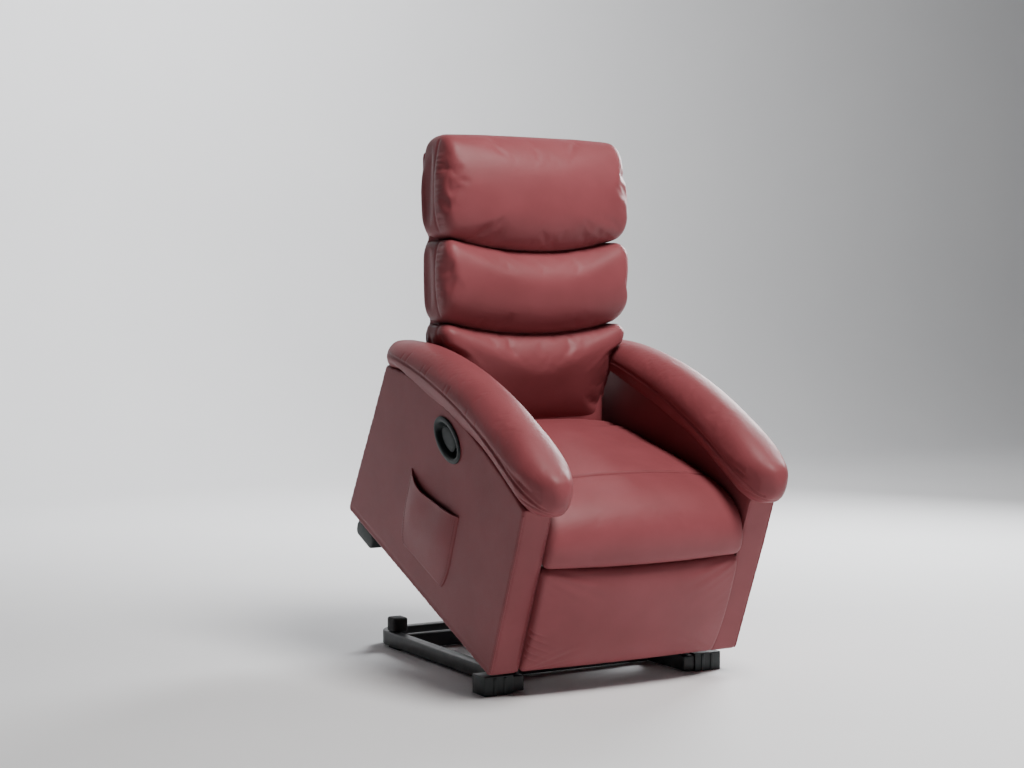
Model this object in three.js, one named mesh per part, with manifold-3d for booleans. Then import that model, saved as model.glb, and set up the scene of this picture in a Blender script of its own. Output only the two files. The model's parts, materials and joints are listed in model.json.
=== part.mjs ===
// A lift recliner chair, in millimetres, +Z up, the sitter facing -Y and the sitter's right hand at -X.
// It stands with its body raised: a floor frame carries the body on a four-bar lift linkage that a linear
// actuator drives. The body holds a seat carriage, with a reclining back and a folding footrest.
import * as THREE from "three";
import { mergeVertices } from "three/addons/utils/BufferGeometryUtils.js";
import Module from "manifold-3d";

const wasm = await Module();
wasm.setup();

// ---- driving dimensions -------------------------------------------------------------------------
const GAP = 0.5; // between pieces that touch on the real chair
const RUNNING = 0.5; // radial clearance of a pin in its hole
const PIN_R = 5;
const ROUND = 14; // sides of a small round section

// The body's own frame has its origin at the foot of the front face, with y to the rear and z up when it
// sits level.
const RAISED_TILT = THREE.MathUtils.degToRad(22.3);
const RAISED_Z = 53; // height of the body's own origin when raised
const HALF_WIDTH = 340; // to the outer face of an arm box
const ARM_BOX = 74; // thickness of an arm box
const INNER = HALF_WIDTH - ARM_BOX; // half the width between the arm boxes
const PAD_IN = 228; // half the width between the arm pads
const PAD_OUT = 352;
const SEAT_HALF = INNER - 3; // half the width of the seat and footrest cushions

// Base frame
const TUBE_TOP = 40;
const TUBE_FOOT = 4; // the tubes stand this high on rubber
const BASE_IN = 222;
const BASE_OUT = 250;
const BASE_REAR = 777;
const BOW_R = 62; // outer bend radius of the bow's rear corners
const OUTRIGGER = { y0: 47, y1: 98, half: 300 }; // the short tubes across the bow's front ends
const SHOE = { x0: 252, x1: 327, wall: 4, ribs: [270, 296], ribWidth: 8, ribDepth: 3 };
const FRONT_TUBE = { y0: 200, y1: 225, top: 29 };
const CROSS_TUBE = { y0: 630, y1: 655 };
const BRACKET_X = { inner: 232, outer: 238, tip: 248 };
const CLEVIS_LUG = { x0: 16, x1: 21, pin: 24 };
const CONTROL = { x0: 84, x1: 168, y0: 656, y1: 748, z0: 8, z1: 44 };
const INLET = { radius: 9, flare: 1, height: 8, bore: 5, y: 728 };
const GLIDE = { x0: 225, x1: 247, y0: 640, y1: 700 };
const BUMPER = { x0: 205, x1: 246, y0: 672, y1: 714, top: 78, round: 6 };

// Lift linkage: a rear arm and a front link on each side. The body turns on their upper pivots.
const ARM_BASE = [160, 79];
const LINK_BASE = [75, 75];
const ARM_TOP = [480, 80]; // in the body's frame
const LINK_TOP = [132.8, 55]; // in the body's frame
const LINK_TOP_PLAY = 3; // the open pivot's radial play

// Actuator
const CLEVIS = [640, 60];
const PUSH_PIN = [306, 166]; // in the body's frame
const PUSH_SLOT = { across: 17, along: 10 }; // half sizes of the slot that the push pin floats in
const STROKE = 146;

// Seat carriage
const SEAT_PITCH = THREE.MathUtils.degToRad(6.5);
const FRAME_START = [40, 275]; // lower front edge of the seat frame
const RECLINE_PIVOT = [620, 275];
const BACK_LEAN = THREE.MathUtils.degToRad(24);

// Footrest linkage: two parallelograms in series, as one side of a lazy tong
const FOOT_PIVOT = [110, 255];
const FOOT_LINK = 240;
const FOOT_START = THREE.MathUtils.degToRad(-64.1); // direction of the swing links when folded
const FOOT_SPREAD = 60; // distance between the two swing links
const FOOT_SPREAD_ANGLE = THREE.MathUtils.degToRad(-24);
const FOOT_BRACKET = [65, 115]; // lower pivot of the footrest bracket when folded
const PANEL_TOP = 270;
const PANEL_FOOT = 6;

// ---- materials ----------------------------------------------------------------------------------
const standard = (color, roughness, metalness = 0) =>
  new THREE.MeshStandardMaterial({ color, roughness, metalness });
const leather = standard(0x7d3237, 0.5);
const steel = standard(0x17191a, 0.45, 0.6);
const zinc = standard(0x8c8f92, 0.4, 0.9);
const plastic = standard(0x141617, 0.5);
const rubber = standard(0x0f0f10, 0.85);
const wood = standard(0xb89468, 0.7);

// ---- solids -------------------------------------------------------------------------------------
function toSolid(geometry) {
  const bare = new THREE.BufferGeometry().setAttribute("position", geometry.getAttribute("position"));
  if (geometry.index) bare.setIndex(geometry.index);
  const merged = mergeVertices(bare.index ? bare.toNonIndexed() : bare, 1e-3);
  const mesh = new wasm.Mesh({
    numProp: 3,
    vertProperties: merged.attributes.position.array,
    triVerts: new Uint32Array(merged.index.array),
  });
  return new wasm.Manifold(mesh);
}

function fromSolid(solid) {
  const mesh = solid.getMesh();
  const positions = new THREE.BufferAttribute(new Float32Array(mesh.vertProperties), 3);
  const geometry = new THREE.BufferGeometry().setAttribute("position", positions);
  return geometry.setIndex(new THREE.BufferAttribute(mesh.triVerts, 1));
}

function fuse(...geometries) {
  return fromSolid(geometries.map(toSolid).reduce((whole, piece) => whole.add(piece)));
}

function cut(geometry, ...tools) {
  return fromSolid(tools.map(toSolid).reduce((left, tool) => left.subtract(tool), toSolid(geometry)));
}

// Turns a geometry drawn in x and y, with its depth along z, to y and z, with its depth along x.
const SIDEWISE = new THREE.Matrix4().makeBasis(
  new THREE.Vector3(0, 1, 0),
  new THREE.Vector3(0, 0, 1),
  new THREE.Vector3(1, 0, 0),
);

// A smooth line through a few points, as a list of points.
function smoothLine(points, count) {
  const line = new THREE.SplineCurve(points.map(([y, z]) => new THREE.Vector2(y, z)));
  return line.getPoints(count).map(({ x, y }) => [x, y]);
}

function sideShape(points) {
  return new THREE.Shape(points.map(([y, z]) => new THREE.Vector2(y, z)));
}

// A side outline, extruded across from x0 to x1.
function slab(shape, x0, x1) {
  const [low, high] = x0 < x1 ? [x0, x1] : [x1, x0];
  const options = { depth: high - low, bevelEnabled: false, curveSegments: 5 };
  return new THREE.ExtrudeGeometry(shape, options).applyMatrix4(SIDEWISE).translate(low, 0, 0);
}

function box(x0, x1, y0, y1, z0, z1) {
  const size = [Math.abs(x1 - x0), y1 - y0, z1 - z0];
  return new THREE.BoxGeometry(...size).translate((x0 + x1) / 2, (y0 + y1) / 2, (z0 + z1) / 2);
}

// A round bar across the chair, from x0 to x1, centred on (y, z).
function bar([y, z], x0, x1, radius, sides = ROUND) {
  return new THREE.CylinderGeometry(radius, radius, Math.abs(x1 - x0), sides)
    .rotateZ(Math.PI / 2)
    .translate((x0 + x1) / 2, y, z);
}

// A flat bar with round ends from a to b.
function strap(a, b, radius, x0, x1) {
  const along = Math.atan2(b[1] - a[1], b[0] - a[0]);
  const shape = new THREE.Shape();
  shape.absarc(a[0], a[1], radius, along + Math.PI / 2, along + (3 * Math.PI) / 2, false);
  shape.absarc(b[0], b[1], radius, along - Math.PI / 2, along + Math.PI / 2, false);
  return slab(shape, x0, x1);
}

// A square-cornered outline with every corner rounded to one radius.
function roundedRect(y0, y1, z0, z1, r) {
  const shape = new THREE.Shape();
  shape.absarc(y1 - r, z0 + r, r, -Math.PI / 2, 0, false);
  shape.absarc(y1 - r, z1 - r, r, 0, Math.PI / 2, false);
  shape.absarc(y0 + r, z1 - r, r, Math.PI / 2, Math.PI, false);
  shape.absarc(y0 + r, z0 + r, r, Math.PI, (3 * Math.PI) / 2, false);
  return shape;
}

function mesh(name, geometry, material) {
  const made = new THREE.Mesh(geometry, material);
  made.name = name;
  return made;
}

function group(name, ...members) {
  const made = new THREE.Group();
  made.name = name;
  if (members.length) made.add(...members);
  return made;
}

// A group whose members are drawn in the parent's frame and which turns about (y, z).
function pivoted(name, [y, z], ...members) {
  const made = group(name, ...members);
  members.forEach((member) => member.position.sub(new THREE.Vector3(0, y, z)));
  made.position.set(0, y, z);
  return made;
}

const SIDES = [
  ["right", -1],
  ["left", 1],
];
const bothSides = (make) => SIDES.flatMap(([label, sign]) => make(label, sign));
const polar = (length, angle) => [length * Math.cos(angle), length * Math.sin(angle)];
const sum = ([a, b], [c, d]) => [a + c, b + d];

// A point of the body's frame, in the chair's frame, with the body raised.
function raised([y, z]) {
  const [c, s] = [Math.cos(RAISED_TILT), Math.sin(RAISED_TILT)];
  return [y * c - z * s, y * s + z * c + RAISED_Z];
}

// ---- base frame ---------------------------------------------------------------------------------
// The rear and both sides of the floor frame: one rectangular tube bent round two corners, with a short
// outrigger welded across each front end.
function baseBow() {
  const { y0, y1, half } = OUTRIGGER;
  const outline = new THREE.Shape();
  outline.moveTo(-BASE_OUT, y1);
  outline.lineTo(-half, y1);
  outline.lineTo(-half, y0);
  outline.lineTo(-BASE_IN, y0);
  const inner = BOW_R - (BASE_OUT - BASE_IN);
  outline.absarc(-BASE_IN + inner, BASE_REAR - BOW_R, inner, Math.PI, Math.PI / 2, true);
  outline.absarc(BASE_IN - inner, BASE_REAR - BOW_R, inner, Math.PI / 2, 0, true);
  outline.lineTo(BASE_IN, y0);
  outline.lineTo(half, y0);
  outline.lineTo(half, y1);
  outline.lineTo(BASE_OUT, y1);
  outline.absarc(BASE_OUT - BOW_R, BASE_REAR - BOW_R, BOW_R, 0, Math.PI / 2, false);
  outline.absarc(-BASE_OUT + BOW_R, BASE_REAR - BOW_R, BOW_R, Math.PI / 2, Math.PI, false);
  const options = { depth: TUBE_TOP - TUBE_FOOT, bevelEnabled: false, curveSegments: 4 };
  return new THREE.ExtrudeGeometry(outline, options).translate(0, 0, TUBE_FOOT);
}

// A plastic shoe on each outrigger, with two ribs down its front.
function footCap(sign) {
  const { y0, y1, half } = OUTRIGGER;
  const { wall, ribs, ribWidth, ribDepth } = SHOE;
  const front = y0 - wall;
  const outside = box(sign * SHOE.x0, sign * SHOE.x1, front, y1 + wall, 0, TUBE_TOP + wall);
  const [under, over] = [TUBE_FOOT - GAP, TUBE_TOP + GAP];
  const socket = box(sign * BASE_OUT, sign * (half + GAP), y0 - GAP, y1 + GAP, under, over);
  const rib = (x) => box(sign * x, sign * (x + ribWidth), front - ribDepth, front + 1, 0, TUBE_TOP);
  const upright = ribs.map(rib);
  return cut(fuse(outside, ...upright), socket);
}

// An upright plate on the side tube, with stub pins for the lift arm and the front link.
function liftBracket(sign) {
  const foot = TUBE_TOP + GAP;
  const plate = sideShape([
    [52, foot],
    [186, foot],
    [178, 92],
    [150, 97],
    [86, 93],
    [62, 90],
  ]);
  const { inner, outer, tip } = BRACKET_X;
  return fuse(
    slab(plate, sign * inner, sign * outer),
    bar(ARM_BASE, sign * (inner + 1), sign * tip, BASE_PIN),
    bar(LINK_BASE, sign * (inner + 1), sign * tip, BASE_PIN),
  );
}

// The cross tube that takes the actuator's thrust, with the two lugs and the pin of its clevis.
function baseCrossTube() {
  const { y0, y1 } = CROSS_TUBE;
  const tube = box(-BASE_IN + GAP, BASE_IN - GAP, y0, y1, TUBE_FOOT, TUBE_TOP);
  const lug = sideShape([
    [y0 + 1, TUBE_TOP - 1],
    [y1 - 1, TUBE_TOP - 1],
    [y1 - 1, 64],
    [647, 72],
    [635, 72],
    [y0 + 1, 66],
  ]);
  const { x0, x1, pin } = CLEVIS_LUG;
  const lugs = [-1, 1].map((sign) => slab(lug, sign * x0, sign * x1));
  return fuse(tube, ...lugs, bar(CLEVIS, -pin, pin, PIN_R));
}

// The chair's power supply socket, on the control box: a collar round a shallow recess.
function powerInlet() {
  const { radius, flare, height, bore, y } = INLET;
  const [x, z] = [(CONTROL.x0 + CONTROL.x1) / 2, CONTROL.z1 + GAP];
  const upright = (top, foot, z0, z1) => {
    const round = new THREE.CylinderGeometry(top, foot, z1 - z0, ROUND).rotateX(Math.PI / 2);
    return round.translate(x, y, z + (z0 + z1) / 2);
  };
  return cut(upright(radius, radius + flare, 0, height), upright(bore, bore, height - 3, height + 1));
}

function base() {
  const { y0, y1, top } = FRONT_TUBE;
  const inside = BASE_IN - GAP;
  const { x0, x1, z0, z1 } = CONTROL;
  const parts = [
    mesh("base_bow", baseBow(), steel),
    mesh("base_front_tube", box(-inside, inside, y0, y1, TUBE_FOOT, top), steel),
    mesh("base_cross_tube", baseCrossTube(), steel),
    mesh("control_box", box(x0, x1, CONTROL.y0, CONTROL.y1, z0, z1), plastic),
    mesh("power_inlet", powerInlet(), plastic),
  ];
  const glide = roundedRect(GLIDE.y0, GLIDE.y1, 0, TUBE_FOOT - GAP, 1.5);
  const bumper = roundedRect(BUMPER.y0, BUMPER.y1, TUBE_TOP + GAP, BUMPER.top, BUMPER.round);
  const pairs = bothSides((label, sign) => [
    mesh("foot_cap_" + label, footCap(sign), plastic),
    mesh("rear_glide_" + label, slab(glide, sign * GLIDE.x0, sign * GLIDE.x1), rubber),
    mesh("bumper_" + label, slab(bumper, sign * BUMPER.x0, sign * BUMPER.x1), rubber),
    mesh("lift_bracket_" + label, liftBracket(sign), steel),
  ]);
  return group("base", ...parts, ...pairs);
}

// ---- lift linkage -------------------------------------------------------------------------------
const LINK_X = [240, 246];
const LINK_ROUND = { arm: 14, front: 13 };
const BASE_PIN = PIN_R + 1;

// The cross tube lies this far along the lift arms from their lower pivots.
const ARM_TUBE_AT = 200;

function liftArms() {
  const top = raised(ARM_TOP);
  const angle = Math.atan2(top[1] - ARM_BASE[1], top[0] - ARM_BASE[0]);
  const tubeAt = sum(ARM_BASE, polar(ARM_TUBE_AT, angle));
  const arms = bothSides((label, sign) => {
    const [x0, x1] = LINK_X.map((x) => sign * x);
    const flat = strap(ARM_BASE, top, LINK_ROUND.arm, x0, x1);
    const holes = [
      bar(ARM_BASE, x0 - sign, x1 + sign, BASE_PIN + RUNNING),
      bar(top, x0 - sign, x1 + sign, BASE_PIN + RUNNING),
    ];
    return mesh("lift_arm_" + label, cut(flat, ...holes), steel);
  });
  const reach = LINK_X[0] - GAP;
  const tube = mesh("lift_cross_tube", bar(tubeAt, -reach, reach, 12, 16), steel);
  return pivoted("pivot_lift", ARM_BASE, ...arms, tube);
}

function frontLinks() {
  const top = raised(LINK_TOP);
  const links = bothSides((label, sign) => {
    const [x0, x1] = LINK_X.map((x) => sign * x);
    const flat = strap(LINK_BASE, top, LINK_ROUND.front, x0, x1);
    const holes = [
      bar(LINK_BASE, x0 - sign, x1 + sign, BASE_PIN + RUNNING),
      bar(top, x0 - sign, x1 + sign, PIN_R + LINK_TOP_PLAY),
    ];
    return mesh("front_link_" + label, cut(flat, ...holes), steel);
  });
  return pivoted("pivot_front_link", LINK_BASE, ...links);
}

// ---- actuator -----------------------------------------------------------------------------------
// Drawn lying along +y from its rear eye at the origin, then turned to its line.
function actuator() {
  const pin = raised(PUSH_PIN);
  const [dy, dz] = [pin[0] - CLEVIS[0], pin[1] - CLEVIS[1]];
  const length = Math.hypot(dy, dz);
  const line = Math.atan2(dz, dy);
  const tubeEnd = length - STROKE - 26;
  const turned = (radius, y0, y1, sides) =>
    new THREE.CylinderGeometry(radius, radius, y1 - y0, sides).translate(0, (y0 + y1) / 2, 0);
  const eye = cut(
    fuse(slab(roundedRect(24, 92, -30, 30, 8), -28, 28), strap([0, 0], [40, 0], 12, -13, 13)),
    bar([0, 0], -14, 14, PIN_R + RUNNING),
  );
  const motor = turned(24, 30, 150, 16).translate(-54, 0, 0);
  const tube = new THREE.LatheGeometry(
    [
      [0, 93],
      [21, 93],
      [21, tubeEnd],
      [12, tubeEnd],
      [12, 100],
      [0, 100],
    ].map(([radius, along]) => new THREE.Vector2(radius, along)),
    16,
  );
  const rodStart = 100 + STROKE + 4;
  const { across, along } = PUSH_SLOT;
  const rim = 5;
  const head = roundedRect(length - along - rim, length + along + rim, -across - rim, across + rim, 8);
  const slot = roundedRect(length - along, length + along, -across, across, 7);
  const rod = fuse(turned(11, rodStart, length - along - 2, 16), slab(head, -10, 10));
  const rodEnd = cut(rod, slab(slot, -11, 11));
  const slide = group("pivot_actuator_rod", mesh("actuator_rod", rodEnd, zinc));
  const whole = group(
    "pivot_actuator_swing",
    mesh("actuator_gearbox", eye, plastic),
    mesh("actuator_motor", motor, plastic),
    mesh("actuator_tube", tube, plastic),
    slide,
  );
  whole.position.set(0, CLEVIS[0], CLEVIS[1]);
  whole.rotation.x = line;
  return whole;
}

// ---- body: arm boxes, pads and rails ------------------------------------------------------------
// The top line of an arm box is one long arc, highest at CREST.
const CREST = { y: 430, z: 461, radius: 1620 };
const seamHeight = (y) => CREST.z - (y - CREST.y) ** 2 / (2 * CREST.radius);
const SEAM_STEPS = 8;
const BOX_REAR = { foot: 807, top: 742 };

function seamPoints(y0, y1, lift) {
  return Array.from({ length: SEAM_STEPS + 1 }, (_, i) => {
    const y = y0 + ((y1 - y0) * i) / SEAM_STEPS;
    return [y, seamHeight(y) + lift];
  });
}

// The lever's cup lies in the right arm box, turned a little nose down.
const CUP = { y: 377, z: 406, length: 126, height: 66, depth: 26, tilt: THREE.MathUtils.degToRad(12) };

function cupShape(grow) {
  const shape = new THREE.Shape();
  shape.absellipse(0, 0, CUP.length / 2 + grow, CUP.height / 2 + grow, 0, 2 * Math.PI, false, 0);
  return shape;
}

const inCup = (geometry) => geometry.rotateX(CUP.tilt).translate(-HALF_WIDTH, CUP.y, CUP.z);

function cupSlab(grow, x0, x1) {
  const options = { depth: x1 - x0, bevelEnabled: false, curveSegments: 12 };
  const upright = new THREE.ExtrudeGeometry(cupShape(grow), options).applyMatrix4(SIDEWISE);
  return inCup(upright.translate(x0, 0, 0));
}

function armBox(sign) {
  const round = 12;
  const outline = sideShape([
    [round, 0],
    [BOX_REAR.foot - 10, 0],
    [BOX_REAR.foot, 10],
    [BOX_REAR.top, seamHeight(BOX_REAR.top) - 1],
    ...seamPoints(0, BOX_REAR.top - 4, -GAP).reverse(),
    [0, round],
  ]);
  const whole = slab(outline, sign * INNER, sign * HALF_WIDTH);
  return sign < 0 ? cut(whole, cupSlab(GAP, -5, CUP.depth + GAP)) : whole;
}

// A padded arm top, longer than its box at both ends and rounded over them.
function armPad(sign) {
  const lower = seamPoints(4, BOX_REAR.top + 6, GAP);
  const over = smoothLine([[735, 492], [608, 538], [340, 565], [67, 541], [-44, 495]], 10);
  const nose = [
    [-64, 462],
    [-58, 430],
    [-34, 410],
    [-GAP, 400],
  ];
  const outline = sideShape([...lower, [766, 440], [762, 468], ...over, ...nose]);
  const bevel = 16;
  const options = {
    depth: PAD_OUT - PAD_IN - 2 * bevel,
    bevelThickness: bevel,
    bevelSize: bevel,
    bevelOffset: -bevel,
    bevelSegments: 2,
  };
  const rounded = new THREE.ExtrudeGeometry(outline, options).applyMatrix4(SIDEWISE);
  const placed = rounded.translate(sign < 0 ? -PAD_OUT + bevel : PAD_IN + bevel, 0, 0);
  const [front, rear, foot] = [-1, 760, 300];
  const boxTop = sideShape([[front, foot], [rear, foot], ...seamPoints(front, rear, GAP).reverse()]);
  return cut(placed, slab(boxTop, sign * (INNER - GAP), sign * (HALF_WIDTH + GAP)));
}

// A steel angle on the inside of each arm box, with the upper pins of the lift linkage.
const RAIL_X = [250, 256];
const RAIL_FOOT = 22;
const RAIL_END = 620;
const RAIL_PIN_TIP = LINK_X[0] - 1.5;

function liftRail(sign) {
  const [inner, outer] = RAIL_X;
  const web = sideShape([
    [66, 30],
    [120, RAIL_FOOT],
    [RAIL_END, RAIL_FOOT],
    [RAIL_END, 62],
    [505, 66],
    [495, 98],
    [465, 98],
    [452, 66],
    [160, 66],
    [148, 74],
    [118, 74],
    [66, 52],
  ]);
  return fuse(
    slab(web, sign * inner, sign * outer),
    box(sign * (outer - 1), sign * (INNER - GAP), 70, RAIL_END, RAIL_FOOT, RAIL_FOOT + 5),
    bar(ARM_TOP, sign * RAIL_PIN_TIP, sign * (outer - 1), BASE_PIN),
    bar(LINK_TOP, sign * RAIL_PIN_TIP, sign * (outer - 1), PIN_R),
  );
}

// The square tube between the two rails, with the lugs and pin that the actuator pushes.
function actuatorCrossbar() {
  const [y, z] = PUSH_PIN;
  const reach = RAIL_X[0] - GAP;
  const [under, over] = [z + 34, z + 50];
  const block = (x0, x1, deep, z0, z1) => box(x0, x1, y - deep, y + deep, z0, z1);
  const tabs = [-1, 1].map((sign) => block(sign * reach, sign * (reach - 3), 16, RAIL_FOOT + 2, over));
  const lugs = [-1, 1].map((sign) => block(sign * 13, sign * 18, 10, z - 10, under + 1));
  return fuse(block(-reach, reach, 11, under, over), ...tabs, ...lugs, bar(PUSH_PIN, -21, 21, PIN_R));
}

const POCKET = { y0: 264, y1: 530, z0: 72, z1: 246, deep: 11.5, wall: 3 };

// A storage bag on the outside of the right arm box: open at the top, its back is the box itself.
function sidePocket() {
  const { y0, y1, z0, z1, deep, wall } = POCKET;
  const face = -HALF_WIDTH - GAP;
  const outside = slab(
    sideShape([
      [y0 + 20, z0],
      [y1 - 20, z0],
      [y1, z0 + 20],
      [y1, z1 + 8],
      [y1 - 60, z1 - 8],
      [y0 + 60, z1 - 4],
      [y0, z1 + 4],
      [y0, z0 + 20],
    ]),
    face - deep,
    face,
  );
  const inside = box(face - deep + wall, face + 1, y0 + wall + 4, y1 - wall - 4, z0 + wall + 14, z1 + 30);
  return cut(outside, inside);
}

// The oval cup of the release lever: a rim on the cover and a bowl behind it.
function leverBezel() {
  const rim = cupSlab(5, -3, -GAP);
  const bowl = cupSlab(-GAP, -1, CUP.depth);
  return cut(fuse(rim, bowl), cupSlab(-6, -4, CUP.depth - 4));
}

const LEVER_HINGE = [38, 0]; // in the cup's own plane, towards its rear end

// The lever: a flat pull over the rear two thirds of the cup, turning on an upright pin at its rear.
function lever() {
  const front = -22;
  const rear = 50;
  const half = 22;
  const face = new THREE.Shape();
  face.moveTo(front, -half + 4);
  face.lineTo(rear - 14, -half + 4);
  face.lineTo(rear - 4, -8);
  face.lineTo(rear - 4, 8);
  face.lineTo(rear - 14, half - 4);
  face.lineTo(front, half - 4);
  face.quadraticCurveTo(front - 9, 0, front, -half + 4);
  const pull = slab(face, 2, 7);
  const lip = slab(sideShape([[front - 3, -14], [front + 2, -14], [front + 2, 14], [front - 3, 14]]), 6, 13);
  return fuse(pull, lip).translate(0, -LEVER_HINGE[0], -LEVER_HINGE[1]);
}

function leverGroup() {
  const [y, z] = polar(LEVER_HINGE[0], CUP.tilt);
  const turning = group("pivot_release_lever", mesh("release_lever", lever(), plastic));
  turning.position.set(-HALF_WIDTH + 4, CUP.y + y, CUP.z + z);
  turning.rotation.x = CUP.tilt;
  return turning;
}

// Guides inside the arm boxes, that the seat carriage runs on. They lie at the seat's pitch.
const GUIDE = { x: 259, y: 415, z: 216, length: 370, height: 24 };

function seatGuide(sign) {
  const { x, y, z, length, height } = GUIDE;
  const level = box(sign * x, sign * (INNER - GAP), -length / 2, length / 2, -height / 2, height / 2);
  return level.rotateX(-SEAT_PITCH).translate(0, y, z);
}

const REAR_RAIL = { y0: 726, y1: 760, z0: 18, z1: 62 };
const REAR_PANEL = { y0: 761, y1: 772, z0: 14, z1: 330 };
const REAR_FOOT = { x0: 284, x1: 334, y0: 658, y1: 756, z: -41, round: 16 };

function bodyShell() {
  const between = ({ y0, y1, z0, z1 }) => box(-INNER + GAP, INNER - GAP, y0, y1, z0, z1);
  const foot = roundedRect(REAR_FOOT.y0, REAR_FOOT.y1, REAR_FOOT.z, -GAP, REAR_FOOT.round);
  const parts = [
    mesh("actuator_crossbar", actuatorCrossbar(), steel),
    mesh("rear_cross_rail", between(REAR_RAIL), wood),
    mesh("rear_panel", between(REAR_PANEL), leather),
    mesh("side_pocket", sidePocket(), leather),
    mesh("lever_bezel", leverBezel(), plastic),
  ];
  const pairs = bothSides((label, sign) => [
    mesh("side_panel_" + label, armBox(sign), leather),
    mesh("arm_pad_" + label, armPad(sign), leather),
    mesh("lift_rail_" + label, liftRail(sign), steel),
    mesh("seat_guide_" + label, seatGuide(sign), zinc),
    mesh("rear_foot_" + label, slab(foot, sign * REAR_FOOT.x0, sign * REAR_FOOT.x1), plastic),
  ]);
  return [...parts, ...pairs, leverGroup()];
}

// ---- seat carriage ------------------------------------------------------------------------------
// The seat frame lies at the seat's pitch, so it is drawn level from its front rail and then turned.
const FRAME = { half: 254, rail: 34, length: 565, thick: 30 };
const atPitch = (geometry) => geometry.rotateX(-SEAT_PITCH).translate(0, FRAME_START[0], FRAME_START[1]);
const frameFoot = (y) => FRAME_START[1] - (y - FRAME_START[0]) * Math.tan(SEAT_PITCH);

function seatFrame() {
  const { half, rail, length, thick } = FRAME;
  const outside = box(-half, half, 0, length, 0, thick);
  return atPitch(cut(outside, box(-half + rail, half - rail, rail, length - rail, -1, thick + 1)));
}

// A net of steel strips across the seat frame's opening, hooked into its rails.
function seatSprings() {
  const { half, rail, length, thick } = FRAME;
  const [x, y0, y1] = [half - rail - GAP, rail + GAP, length - rail - GAP];
  const strips = 5;
  const under = thick - 12;
  const across = Array.from({ length: strips }, (_, i) => {
    const centre = -x + ((i + 0.5) * 2 * x) / strips;
    return box(centre - 9, centre + 9, y0, y1, under, under + 4);
  });
  const ties = [0.3, 0.7].map((share) => {
    const y = y0 + (y1 - y0) * share;
    return box(-x, x, y - 6, y + 6, under + 3, under + 7);
  });
  return atPitch(fuse(...across, ...ties));
}

function seatCushion() {
  const outline = sideShape([
    [20, 309],
    [24, 286],
    [-6, 284],
    [-16, 300],
    [-15, 326],
    [-2, 350],
    [30, 374],
    [82, 389],
    [179, 389],
    [298, 379],
    [420, 364],
    [534, 348],
    [590, 338],
    [592, 250],
  ]);
  return slab(outline, -SEAT_HALF, SEAT_HALF);
}

// The steel side plate of the mechanism: the footrest links hang from its front and the back from its rear.
const PLATE_X = [213, 218];
const RECLINE_PIN_TIP = 226;
const FOOT_PIN_TIP = 204.5;
const FLANGE_OUT = 262;

function mechPlate(sign) {
  const swing = sum(FOOT_PIVOT, polar(FOOT_SPREAD, FOOT_SPREAD_ANGLE));
  const plate = sideShape([
    [92, 262],
    [94, 240],
    [150, 214],
    [182, 214],
    [330, 226],
    [560, 196],
    [628, 196],
    [640, 262],
    [634, 290],
    [607, 290],
    [607, frameFoot(607) - GAP],
    [200, frameFoot(200) - GAP],
  ]);
  const [front, rear] = [220, 540];
  const flange = sideShape([
    [front, frameFoot(front) - GAP - 3],
    [rear, frameFoot(rear) - GAP - 3],
    [rear, frameFoot(rear) - GAP],
    [front, frameFoot(front) - GAP],
  ]);
  const [x0, x1] = PLATE_X.map((x) => sign * x);
  return fuse(
    slab(plate, x0, x1),
    slab(flange, x1 - sign, sign * FLANGE_OUT),
    bar(FOOT_PIVOT, sign * FOOT_PIN_TIP, x1 - sign, PIN_R),
    bar(swing, sign * FOOT_PIN_TIP, x1 - sign, PIN_R),
    bar(RECLINE_PIVOT, x0 + sign, sign * RECLINE_PIN_TIP, BASE_PIN),
  );
}

// ---- back ---------------------------------------------------------------------------------------
// The back is drawn upright: y is the distance behind the pivot and z the height up the back.
const BACK = { half: 220, foot: 66, top: 704, front: -52, rear: -12 };
const FULL_BACK = 262; // half the width of the back above the arms
const LOW_BACK = 222; // and between them
const BACK_RAIL = 44;

function backFrame() {
  const { half, foot, top, front, rear } = BACK;
  const outside = box(-half, half, front, rear, foot, top);
  const bays = [
    [foot + BACK_RAIL, 268],
    [268 + BACK_RAIL, 470],
    [470 + BACK_RAIL, top - BACK_RAIL],
  ];
  const side = half - BACK_RAIL;
  return cut(outside, ...bays.map(([z0, z1]) => box(-side, side, front - 1, rear + 1, z0, z1)));
}

function backPlate(sign) {
  const plate = sideShape([
    [-14, -10],
    [12, -14],
    [14, 20],
    [-14, 90],
    [-14, 210],
    [-46, 210],
    [-46, 90],
    [-16, 30],
  ]);
  const flat = slab(plate, sign * 220.5, sign * 225);
  return cut(flat, bar([0, 0], sign * 219, sign * 227, BASE_PIN + RUNNING));
}

// The outer cover of the back: narrow between the arms and full width above them.
function backCover() {
  const wide = new THREE.Shape();
  [
    [-218, 30],
    [218, 30],
    [LOW_BACK, 290],
    [FULL_BACK, 318],
    [FULL_BACK, 722],
    [-FULL_BACK, 722],
    [-FULL_BACK, 318],
    [-LOW_BACK, 290],
  ].forEach(([x, z], i) => (i ? wide.lineTo(x, z) : wide.moveTo(x, z)));
  const sheet = new THREE.ExtrudeGeometry(wide, { depth: 9, bevelEnabled: false });
  return sheet.rotateX(Math.PI / 2);
}

function backCushion(points, half) {
  return slab(sideShape(points), -half, half);
}

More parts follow.
